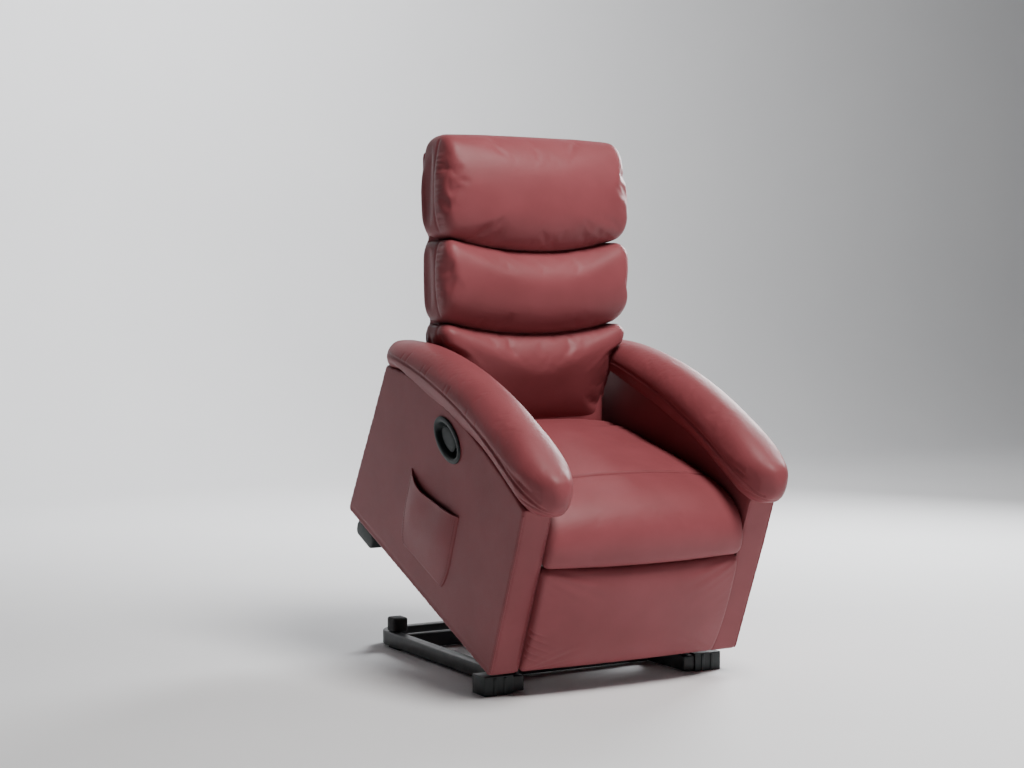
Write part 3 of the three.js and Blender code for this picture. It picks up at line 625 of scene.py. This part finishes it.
def side_band(piece, name, half):
    """A soft sewn line down each side of a back cushion, with short puckers in front of it."""
    for side in (-1, 1):
        starts = [(side * OUTSIDE, BAND, z) for z in np.linspace(*BAND_HEIGHTS[name], 160)]
        groove(piece, surface_line(piece, BACK, starts, (-side, 0, 0)), 0.0015, 0.0050)
    local = to_local(piece, BACK)
    near_side = step(np.abs(local[:, 0]), half - 14, half - 2)
    near_front = step(-local[:, 1], 76, 90) * step(local[:, 1], -128, -100)
    waves = np.sin(local[:, 2] * 0.36 + 2.1 * np.sin(local[:, 2] * 0.083)) ** 3
    push_in(piece, -PUCKER * waves * (near_side * near_front))


SHELL = [
    (-57, 40), (-57, 300), (-57, 560), (-57, 716), (-20, 722), (2, 716),
    (9, 690), (9, 500), (8, 300), (6, 60), (0, 28), (-30, 24),
]


GROOVES = (505, 302)  # heights of the grooves between the cushions
OUTER_BACK = 14  # how far the outer back stands out beyond the core on each side


def shell_shape(v):
    """The core between the cushions in front, and the outer back behind them, drawn in at each groove."""
    rear = step(v[:, 1], -24, -4)
    height = v[:, 2]
    upper = step(height, *FLARE)
    pinch = sum(ridge(height - groove_height, 16) for groove_height in GROOVES)
    width = BACK_LOW_HALF + (BACK_FULL_HALF - BACK_LOW_HALF) * upper
    width += rear * upper * OUTER_BACK * (1 - np.minimum(pinch, 1))
    v[:, 0] *= width / BACK_FULL_HALF
    v[:, 1] += 5 * rear * arch(v[:, 0], BACK_FULL_HALF) * arch(height - 370, 350)
    return v


def back_shell():
    half = BACK_FULL_HALF
    piece = pillow("back_shell", SHELL, -half, half, 12, shell_shape, count=220, bend=BACK)
    remesh(piece, 0.006)
    relax(piece, 2)
    subdivide(piece)
    for side in (-1, 1):
        starts = [(side * (196 + 24 * step(z, *FLARE)), 200, z) for z in np.linspace(44, 708, 420)]
        groove(piece, surface_line(piece, BACK, starts, FORWARD), 0.0022, 0.0035)
        beside = [(x + BESIDE * side, y, z) for x, y, z in starts]
        name = "back_stitches_" + ("left" if side > 0 else "right")
        stitches(name, surface_line(piece, BACK, beside, FORWARD), "backrest")
    across = [(x, 200, GROOVES[1] - 6 * arch(np.array(x), 220)) for x in np.linspace(-214, 214, 260)]
    groove(piece, surface_line(piece, BACK, across, FORWARD), 0.0020, 0.0035)
    return finish_soft(piece, "backrest", 0.6, "back_cover")


# ---- the seat ----------------------------------------------------------------------------------
SEAT = [
    (602, 322), (560, 340), (480, 354), (400, 364), (300, 378), (200, 389),
    (110, 392), (56, 385), (18, 366), (-8, 338), (-18, 310), (-15, 282),
    (4, 271), (40, 290), (120, 300), (300, 279), (480, 260), (590, 250),
    (606, 286),
]
SEAT_SEAM_Y = 157
SEAT_EDGE = 12
SEAT_WIDE = INNER - 1  # half the width of the seat's and the footrest's covers
SEAT_CROWN = 24
SEAT_BOW = 12
SEAT_SLOPE = 0.09  # the seat's middle plane falls this much for each mm backwards


def seat_shape(v):
    """Crowned on top and bowed forward at its front edge."""
    bow = arch(v[:, 0], SEAT_WIDE)
    top = step(v[:, 2] - (300 - SEAT_SLOPE * v[:, 1]), 0, 70) * (1 - 0.8 * step(v[:, 1], 500, 600))
    v[:, 2] += SEAT_CROWN * bow**0.8 * top
    v[:, 1] -= SEAT_BOW * bow * step(-v[:, 1], -40, 10)
    return v


def seat_pillow():
    half = SEAT_WIDE
    piece = pillow("seat_pillow", SEAT, -half, half, SEAT_EDGE, seat_shape, count=220, bend=BODY)
    remesh(piece, 0.006)
    relax(piece, 3)
    local = to_local(piece, BODY)
    under = 1 - step(local[:, 2] - (290 - SEAT_SLOPE * local[:, 1]), 0, 22)
    seam = ridge(local[:, 1] - SEAT_SEAM_Y, 6)
    sides = 0.7 * step(np.abs(local[:, 0]), half - 6, half - 1)
    inflate(piece, CUSHION_CAP, np.maximum(np.maximum(under, seam), sides))
    keep_within(piece, SEAT_WIDE)
    relax(piece, 1)
    subdivide(piece)
    across = np.linspace(-half + 6, half - 6, 320)
    line = [(x, SEAT_SEAM_Y + 5 * (x / half) ** 2, 520) for x in across]
    groove(piece, surface_line(piece, BODY, line), 0.0075, 0.0034)
    beside = [(x, y + 7, z) for x, y, z in line]
    stitches("seat_stitches", surface_line(piece, BODY, beside), "seat_carriage")
    return finish_soft(piece, "seat_carriage", 0.8, "seat_cushion")


# ---- the footrest ------------------------------------------------------------------------------
FOOTREST = [
    (22, 12), (22, 60), (22, 140), (22, 220), (22, 262), (12, 270),
    (-2, 271), (-14, 265), (-20, 242), (-23, 190), (-24, 140), (-22, 90),
    (-17, 44), (-10, 14), (2, 6), (14, 6),
]


FOOTREST_CAP = 0.010
CREASES = ((120, 30), (104, 34), (84, 40), (66, 30), (50, 26))  # height at the side and length
CREASE_DEPTH = 2.4


def footrest_shape(v):
    """Bowed forward in its middle, with its top edge a little lower there."""
    bow = arch(v[:, 0], SEAT_WIDE)
    v[:, 1] -= 8 * bow * step(-v[:, 1], -4, 16)
    v[:, 2] -= 6 * bow * step(v[:, 2], 180, 266)
    return v


def footrest_pillow():
    half = SEAT_WIDE
    piece = pillow("footrest_pillow", FOOTREST, -half, half, 8, footrest_shape, bend=BODY)
    remesh(piece, 0.005)
    relax(piece, 3)
    local = to_local(piece, BODY)
    sides = 0.8 * step(np.abs(local[:, 0]), half - 8, half - 1)
    inflate(piece, FOOTREST_CAP, np.maximum(step(local[:, 1], -6, 4), sides), pressure=2.5)
    keep_within(piece, SEAT_WIDE)
    relax(piece, 6)
    subdivide(piece)
    local = to_local(piece, BODY)
    edge = half + local[:, 0]
    front = step(-local[:, 1], 0, 10)
    push = np.zeros(len(local))
    for height, reach in CREASES:
        line = local[:, 2] - (height - 0.35 * edge)
        push += CREASE_DEPTH * ridge(line, 3.6) * ridge(edge, reach) * front
    push_in(piece, push)
    return finish_soft(piece, "footrest_panel", 0.7, "footrest_cushion")


# ---- the arms ----------------------------------------------------------------------------------
# Long shallow arcs of the arms, in side view: (crest y, crest z, radius).
PAD_TOP = (330, 566, 1260)
PAD_STITCH = (400, 505, 1600)
BOX_TOP = (430, 465, 1620)
PAD_NOSE = ((-2, 466), (62, 54))  # centre and reach of the rounded front end
PAD_TAIL = ((726, 464), (44, 39))  # and of the rear end
PAD_OVERHANG = 3  # how far the pad comes down over the box's top


def arc_height(y, arc):
    crest_y, crest_z, radius = arc
    return crest_z - (y - crest_y) ** 2 / (2 * radius)


def end_curve(end, start):
    """Half an ellipse round one end of the pad, from an angle in degrees, anticlockwise."""
    (y, z), (reach_y, reach_z) = end
    turns = np.radians(np.linspace(start, start + 180, 5))
    return [(y + reach_y * math.cos(a), z + reach_z * math.sin(a)) for a in turns]


def pad_outline():
    top = [(y, arc_height(y, PAD_TOP)) for y in np.linspace(650, 70, 9)]
    under = [(y, arc_height(y, BOX_TOP) - PAD_OVERHANG) for y in np.linspace(80, 670, 7)]
    return [*end_curve(PAD_TAIL, -90), *top, *end_curve(PAD_NOSE, 90), *under]


def pad_seam(count):
    return [(y, arc_height(y, PAD_STITCH)) for y in np.linspace(742, -44, count)]


NOSE_TIP, NOSE_END = -64, 52  # the pad's front end narrows in plan between these
NOSE_NARROW = 0.62
TAIL_NARROW = 0.30
PLEATS = ((655, 26), (630, 34), (545, 30), (520, 38), (420, 30), (402, 36), (300, 24), (252, 22))  # y, length
PLEAT_DEPTH = 1.3
TIP_SEAM = ((-0.9, 441), (-0.5, 436), (0, 434), (0.5, 436), (0.9, 441))  # share of the half width, height
PAD_CAP = 0.012
PAD_ROUND = 42


def pleat(piece, sign, middle, half):
    """Short gathers above the seam, on the pad's outer side."""
    local = to_local(piece, BODY)
    outer = step(sign * (local[:, 0] - middle), 0.1 * half, 0.5 * half)
    above = local[:, 2] - arc_height(local[:, 1], PAD_STITCH)
    push = np.zeros(len(local))
    for y, length in PLEATS:
        line = local[:, 1] - (y - 0.25 * above)
        within = step(above, -2, 4) * (1 - step(above, length * 0.6, length))
        push += PLEAT_DEPTH * ridge(line, 2.6) * outer * within
    push_in(piece, push)


def arm_pad(label, sign):
    x0, x1 = sorted((sign * PAD_IN, sign * PAD_OUT))
    middle = (x0 + x1) / 2
    half = (x1 - x0) / 2

    def crowned(v):
        v[:, 2] += 5 * arch(v[:, 0] - middle, half) * step(v[:, 2], 470, 540)
        ahead = np.clip((NOSE_END - v[:, 1]) / (NOSE_END - NOSE_TIP), 0, 1)
        v[:, 0] = middle + (v[:, 0] - middle) * (1 - NOSE_NARROW * ahead**2.2)
        behind = np.clip((v[:, 1] - 690) / 90, 0, 1)
        v[:, 0] = middle + (v[:, 0] - middle) * (1 - TAIL_NARROW * behind**2)
        return v

    name = "arm_pad_" + label
    piece = pillow(name + "_pillow", pad_outline(), x0 + 1, x1 - 1, PAD_ROUND, crowned, count=260, bend=BODY)
    remesh(piece, 0.005)
    relax(piece, 4)
    local = to_local(piece, BODY)
    under = 1 - step(local[:, 2] - arc_height(local[:, 1], BOX_TOP), 2, 18)
    inflate(piece, PAD_CAP, under)
    relax(piece, 1)
    subdivide(piece)
    pleat(piece, sign, middle, half)
    for side in (-1, 1):
        starts = [(middle + side * 200, y, z) for y, z in pad_seam(420)]
        groove(piece, surface_line(piece, BODY, starts, (-side, 0, 0)), 0.0024, 0.0028)
        beside = [(x, y, z - 5) for x, y, z in starts]
        row = "pad_stitches_" + label + ("_left" if side > 0 else "_right")
        stitches(row, surface_line(piece, BODY, beside, (-side, 0, 0)), "chair_body")
    tip = [(middle + half * share, z) for share, z in TIP_SEAM]
    starts = [(x, -200, z) for x, z in smooth_path(tip, 120)]
    groove(piece, surface_line(piece, BODY, starts, REARWARD), 0.0022, 0.0028)
    return finish_soft(piece, "chair_body", 0.75, name)


TUCK = 9  # how far the box's cover reaches up inside the pad
CUP_AT = (377, 406)
CUP_TILT = math.radians(12)
CUP_REACH = (63, 33)
CUP_CENTRE = Matrix.Translation((-HALF * MM, CUP_AT[0] * MM, CUP_AT[1] * MM))
CUP = BODY @ CUP_CENTRE @ Matrix.Rotation(CUP_TILT, 4, "X")
CUP_SIDES = 72


def cup_ring():
    turns = np.linspace(0, 2 * math.pi, CUP_SIDES, endpoint=False)
    return [(CUP_REACH[0] * math.cos(a), CUP_REACH[1] * math.sin(a)) for a in turns]


BOX_FOOT_AND_REAR = [(6, 0), (200, 0), (420, 0), (640, 0), (796, 0), (806, 8), (790, 120), (764, 280)]
BOX_FRONT = [(0, 300), (0, 200), (0, 100), (0, 8)]
COVER_EDGE = 2.5  # how far the box's edges are broken
PUFF = 2.2


def side_cover(label, sign):
    top = [(y, arc_height(y, BOX_TOP) + TUCK * step(y, 742, 600)) for y in np.linspace(742, 4, 14)]
    outline = [*BOX_FOOT_AND_REAR, *top, *BOX_FRONT]
    x0, x1 = sorted((sign * INNER, sign * HALF))
    ring = np.array(outline, float)
    centre = ring.mean(axis=0)
    away = (ring - centre) / np.linalg.norm(ring - centre, axis=1)[:, None]
    rows = [(x0, COVER_EDGE), (x0 + COVER_EDGE, 0), (x1 - COVER_EDGE, 0), (x1, COVER_EDGE)]
    vertices = [(x, y, z) for x, inset in rows for y, z in ring - away * inset]
    piece = link_mesh("side_cover_" + label, vertices, skin(len(rows), len(ring)), BODY)
    if sign < 0:
        cut_out(piece, stacked("cup_hole", cup_ring(), [(1.5, -12), (1.5, 29)], CUP))
    remesh(piece, 0.005)
    relax(piece, 3)
    local = to_local(piece, BODY)
    outer = step(sign * local[:, 0], HALF - 4, HALF)
    push_in(piece, -PUFF * outer * arch(local[:, 1] - 400, 400) * arch(local[:, 2] - 220, 235))
    for place, x in (("inner", INNER + COVER_EDGE), ("outer", HALF - COVER_EDGE)):
        starts = [(sign * x, -200, z) for z in np.linspace(6, 404, 200)]
        path = surface_line(piece, BODY, starts, REARWARD)
        welt("front_welt_" + label + "_" + place, path)
    foot = [(sign * OUTSIDE, y, 14) for y in np.linspace(14, 792, 420)]
    groove(piece, surface_line(piece, BODY, foot, (-sign, 0, 0)), 0.0016, 0.003)
    return finish_soft(piece, "chair_body", 0.3, "side_panel_" + label)


# ---- the lever and its cup ---------------------------------------------------------------------
# Rows of the cup and of the flap: (how much the outline grows, how deep inside the side's face).
CUP_ROWS = [
    (-30, 24), (-6, 23), (-1, 12), (-1, 1), (8, 1), (9.5, -1.5),
    (9, -3.4), (7, -4.8), (3, -5.4), (-1, -5), (-4, -3), (-6, 2),
    (-8, 9), (-13, 16), (-21, 20), (-30, 21.5),
]
FLAP = [
    (-30, 0), (-28, -12), (-20, -20), (0, -23.5), (22, -21), (38, -13),
    (46, 0), (38, 13), (22, 21), (0, 23.5), (-20, 20), (-28, 12),
]
FLAP_ROWS = [(-4, 11), (0, 10), (0, 6), (-1.5, 4.2), (-5, 3), (-11, 2.2), (-17, 2)]


def lever_cup():
    cup = stacked("lever_cup", cup_ring(), CUP_ROWS, CUP)
    subdivide(cup)
    finish_soft(cup, "chair_body", None, "lever_bezel", slot="plastic", material=PLASTIC)
    flap = stacked("lever_flap", smooth_path(FLAP, 64, closed=True), FLAP_ROWS, CUP)
    subdivide(flap)
    return finish_soft(flap, "release_lever", None, "release_lever", slot="plastic", material=PLASTIC)


# ---- the storage bag ---------------------------------------------------------------------------
BAG_FRONT = (258, 266)
BAG_REAR = (514, 264)
BAG_LOW = (432, 243)  # where the slack mouth hangs lowest
BAG_FOOT = 74
BAG_DEEP = 11
BAG_WALL = 2.4
BAG_CLEAR = 0.5
BAG_COLUMNS = 90
BAG_ROWS = 60


def mouth_height(y):
    """The bag's mouth hangs in a long curve from its front and a short one from its rear."""
    ends = BAG_FRONT if y < BAG_LOW[0] else BAG_REAR
    share = (y - BAG_LOW[0]) / (ends[0] - BAG_LOW[0])
    return BAG_LOW[1] + (ends[1] - BAG_LOW[1]) * abs(share) ** (1.3 if y < BAG_LOW[0] else 2.2)


def bag_point(u, v):
    """A place on the bag's outside in mm: u runs backwards along it, and v up from its foot."""
    y = BAG_FRONT[0] + (BAG_REAR[0] - BAG_FRONT[0]) * u
    top = mouth_height(y)
    corner = 22 * (1 - v) ** 6
    y += corner * ((1 - u) ** 4 - u**4) - 5 * (1 - v) * (1 - u) ** 2
    z = BAG_FOOT + (top - BAG_FOOT) * v
    slack = (1 - (2 * u - 1) ** 4) * (1 - (1 - v) ** 3)
    belly = slack * (0.55 + 0.45 * math.sin(math.pi * min(1, v * 0.85)))
    gather = 1.3 * math.sin(u * 210) * math.exp(-(((u - 0.06) / 0.05) ** 2)) * v**4
    fold = 1.6 * math.sin(9 * u + 4 * v) * slack
    lip = 2.5 * v**12 * slack
    return -HALF - BAG_WALL - BAG_CLEAR - BAG_DEEP * belly - gather + fold - lip, y, z


def storage_bag():
    """A sewn sheet on the box's side, slack in its middle and open at its mouth."""
    columns, rows = BAG_COLUMNS, BAG_ROWS
    outside = np.array([bag_point(u, v) for v in np.linspace(0, 1, rows) for u in np.linspace(0, 1, columns)])
    inside = outside.copy()
    inside[:, 0] += BAG_WALL
    count = len(outside)
    faces = []
    for j in range(rows - 1):
        for i in range(columns - 1):
            a = j * columns + i
            faces.append((a, a + 1, a + columns + 1, a + columns))
            faces.append((count + a, count + a + columns, count + a + columns + 1, count + a + 1))
    rim = list(range(columns))
    rim += [j * columns + columns - 1 for j in range(1, rows)]
    rim += [(rows - 1) * columns + i for i in range(columns - 2, -1, -1)]
    rim += [j * columns for j in range(rows - 2, 0, -1)]
    for a, b in zip(rim, rim[1:] + rim[:1]):
        faces.append((a, b, count + b, count + a))
    piece = link_mesh("storage_bag", np.vstack([outside, inside]), faces, BODY)
    lip = [BODY @ (Vector((x + BAG_WALL / 2, y, z)) * MM) for x, y, z in outside[-columns:]]
    welt("bag_welt", lip, 0.0021)
    for name, column in (("front", 3), ("rear", columns - 4)):
        edge = outside[column::columns] + np.array([-0.4, 0, 0])
        stitches("bag_stitches_" + name, [BODY @ (Vector(p) * MM) for p in edge], "chair_body")
    return finish_soft(piece, "chair_body", None, "side_pocket")


# ---- the body's rear -------------------------------------------------------------------------
REAR = [
    (761, 20), (761, 120), (761, 230), (761, 326), (767, 330), (773, 324),
    (774, 230), (774, 120), (773, 20), (767, 14),
]


def rear_cover():
    def crowned(v):
        v[:, 1] += 4 * step(v[:, 1], 764, 772) * arch(v[:, 0], INNER) * arch(v[:, 2] - 172, 170)
        return v

    piece = pillow("rear_cover", REAR, -INNER + 1, INNER - 1, 5, crowned, count=140, bend=BODY)
    remesh(piece, 0.004)
    relax(piece, 2)
    for side in (-1, 1):
        starts = [(side * 180, 1000, z) for z in np.linspace(20, 324, 220)]
        groove(piece, surface_line(piece, BODY, starts, FORWARD), 0.0018, 0.003)
        beside = [(x + BESIDE * side, y, z) for x, y, z in starts]
        name = "rear_stitches_" + ("left" if side > 0 else "right")
        stitches(name, surface_line(piece, BODY, beside, FORWARD), "chair_body")
    return finish_soft(piece, "chair_body", 0.3, "rear_panel")


# ---- hard parts --------------------------------------------------------------------------------
def hard_parts():
    body_of = {node: body for body, nodes in frame["record"]["behaviour"]["bodies"].items() for node in nodes}
    slot_of = {part["node"]: part["material_slot"] for part in frame["record"]["subparts"]}
    shaped = {
        "base_bow": 3, "base_front_tube": 3, "base_cross_tube": 1.5, "foot_cap_right": 3, "foot_cap_left": 3,
        "bumper_right": 6, "bumper_left": 6, "control_box": 3, "rear_foot_right": 5, "rear_foot_left": 5,
        "actuator_gearbox": 2, "actuator_motor": 3, "actuator_tube": 1.5, "power_inlet": 0.8,
    }
    for node, width in shaped.items():
        slot = slot_of[node]
        softened(node, body_of[node], BY_SLOT[slot], slot, width)
    for node, item in frame["nodes"].items():
        if not item.hide_render:
            item.data.materials.clear()
            item.data.materials.append(BY_SLOT[slot_of[node]])


# ---- floor, light, camera ----------------------------------------------------------------------
FLOOR_REACH = 9
FLOOR_FAR = 6
FLOOR_RISE = 6
FLOOR_BEND = 1.5
CHAIR_MIDDLE = (0, 0, 0.6)
BACKDROP_MIDDLE = (1.5, 6, 1.5)
LAMPS = (  # name, place, what it lights, size, watts, colour
    ("key", (0.35, -2.1, 4.1), CHAIR_MIDDLE, 1.5, 235, (1.0, 0.98, 0.96)),
    ("window", (3.0, 1.5, 2.2), CHAIR_MIDDLE, 1.6, 170, (0.96, 0.98, 1.0)),
    ("backdrop", (0.6, 2.8, 3.6), BACKDROP_MIDDLE, 3.4, 230, (0.97, 0.98, 1.0)),
)


def floor_sheet():
    """A pale floor that bends up into a wall behind the chair."""
    floor_material, nodes, links, shader = new_material("pale_floor", (0.82, 0.82, 0.82), 0.8)
    coords = nodes.new("ShaderNodeTexCoord")
    shade = tint(nodes, links, noise(nodes, links, coords, 2, 2), (0.80, 0.80, 0.81), (0.84, 0.84, 0.84))
    links.new(shade.outputs["Color"], shader.inputs["Base Color"])
    bend = FLOOR_BEND
    rows = [(-FLOOR_REACH, 0), (FLOOR_FAR - bend, 0)]
    for a in np.linspace(0.1, math.pi / 2, 12):
        rows.append((FLOOR_FAR - bend + bend * math.sin(a), bend - bend * math.cos(a)))
    rows.append((FLOOR_FAR, FLOOR_RISE))
    vertices = [(x, y, z) for y, z in rows for x in (-3 * FLOOR_REACH, 3 * FLOOR_REACH)]
    faces = [(2 * i, 2 * i + 1, 2 * i + 3, 2 * i + 2) for i in range(len(rows) - 1)]
    floor = smoothed(link_mesh("studio_floor", vertices, faces))
    floor.data.materials.append(floor_material)


def studio_world():
    """Soft light all round, fading towards the sitter's right."""
    world = bpy.data.worlds.new("studio_world")
    world.use_nodes = True
    nodes, links = world.node_tree.nodes, world.node_tree.links
    nodes["Background"].inputs["Color"].default_value = (0.90, 0.94, 1.0, 1)
    apart = nodes.new("ShaderNodeSeparateXYZ")
    links.new(nodes.new("ShaderNodeTexCoord").outputs["Generated"], apart.inputs["Vector"])
    strength = nodes.new("ShaderNodeMapRange")
    strength.inputs["From Min"].default_value = -0.6
    strength.inputs["To Min"].default_value = 0.0
    strength.inputs["To Max"].default_value = 0.20
    links.new(apart.outputs["X"], strength.inputs["Value"])
    links.new(strength.outputs[0], nodes["Background"].inputs["Strength"])
    bpy.context.scene.world = world


def lamps():
    for name, place, aim, size, power, color in LAMPS:
        lamp = bpy.data.lights.new(name, "AREA")
        lamp.shape = "DISK"
        lamp.size, lamp.energy, lamp.color = size, power, color
        item = bpy.data.objects.new(name, lamp)
        item.location = place
        item.rotation_euler = (Vector(aim) - Vector(place)).to_track_quat("-Z", "Y").to_euler()
        bpy.context.collection.objects.link(item)


CAMERA_FROM_FRONT_EDGE = (-2.3175, -3.5622, 0.88475)  # from the body's lower front edge, over the floor
CAMERA_AZIMUTH = math.radians(-29.76)
CAMERA_ELEVATION = math.radians(2.475)
LENS = 64.76
SENSOR = 36


def camera():
    data = bpy.data.cameras.new("view")
    data.lens, data.sensor_width = LENS, SENSOR
    item = bpy.data.objects.new("view", data)
    x, y, z = CAMERA_FROM_FRONT_EDGE
    item.location = (x, y + BODY.translation.y, z)
    item.rotation_euler = (math.pi / 2 - CAMERA_ELEVATION, 0, CAMERA_AZIMUTH)
    bpy.context.collection.objects.link(item)
    bpy.context.scene.camera = item


floor_sheet()
studio_world()
lamps()
camera()
back_shell()
back_cushions()
seat_pillow()
footrest_pillow()
for label, sign in (("right", -1), ("left", 1)):
    arm_pad(label, sign)
    side_cover(label, sign)
lever_cup()
storage_bag()
rear_cover()
hard_parts()
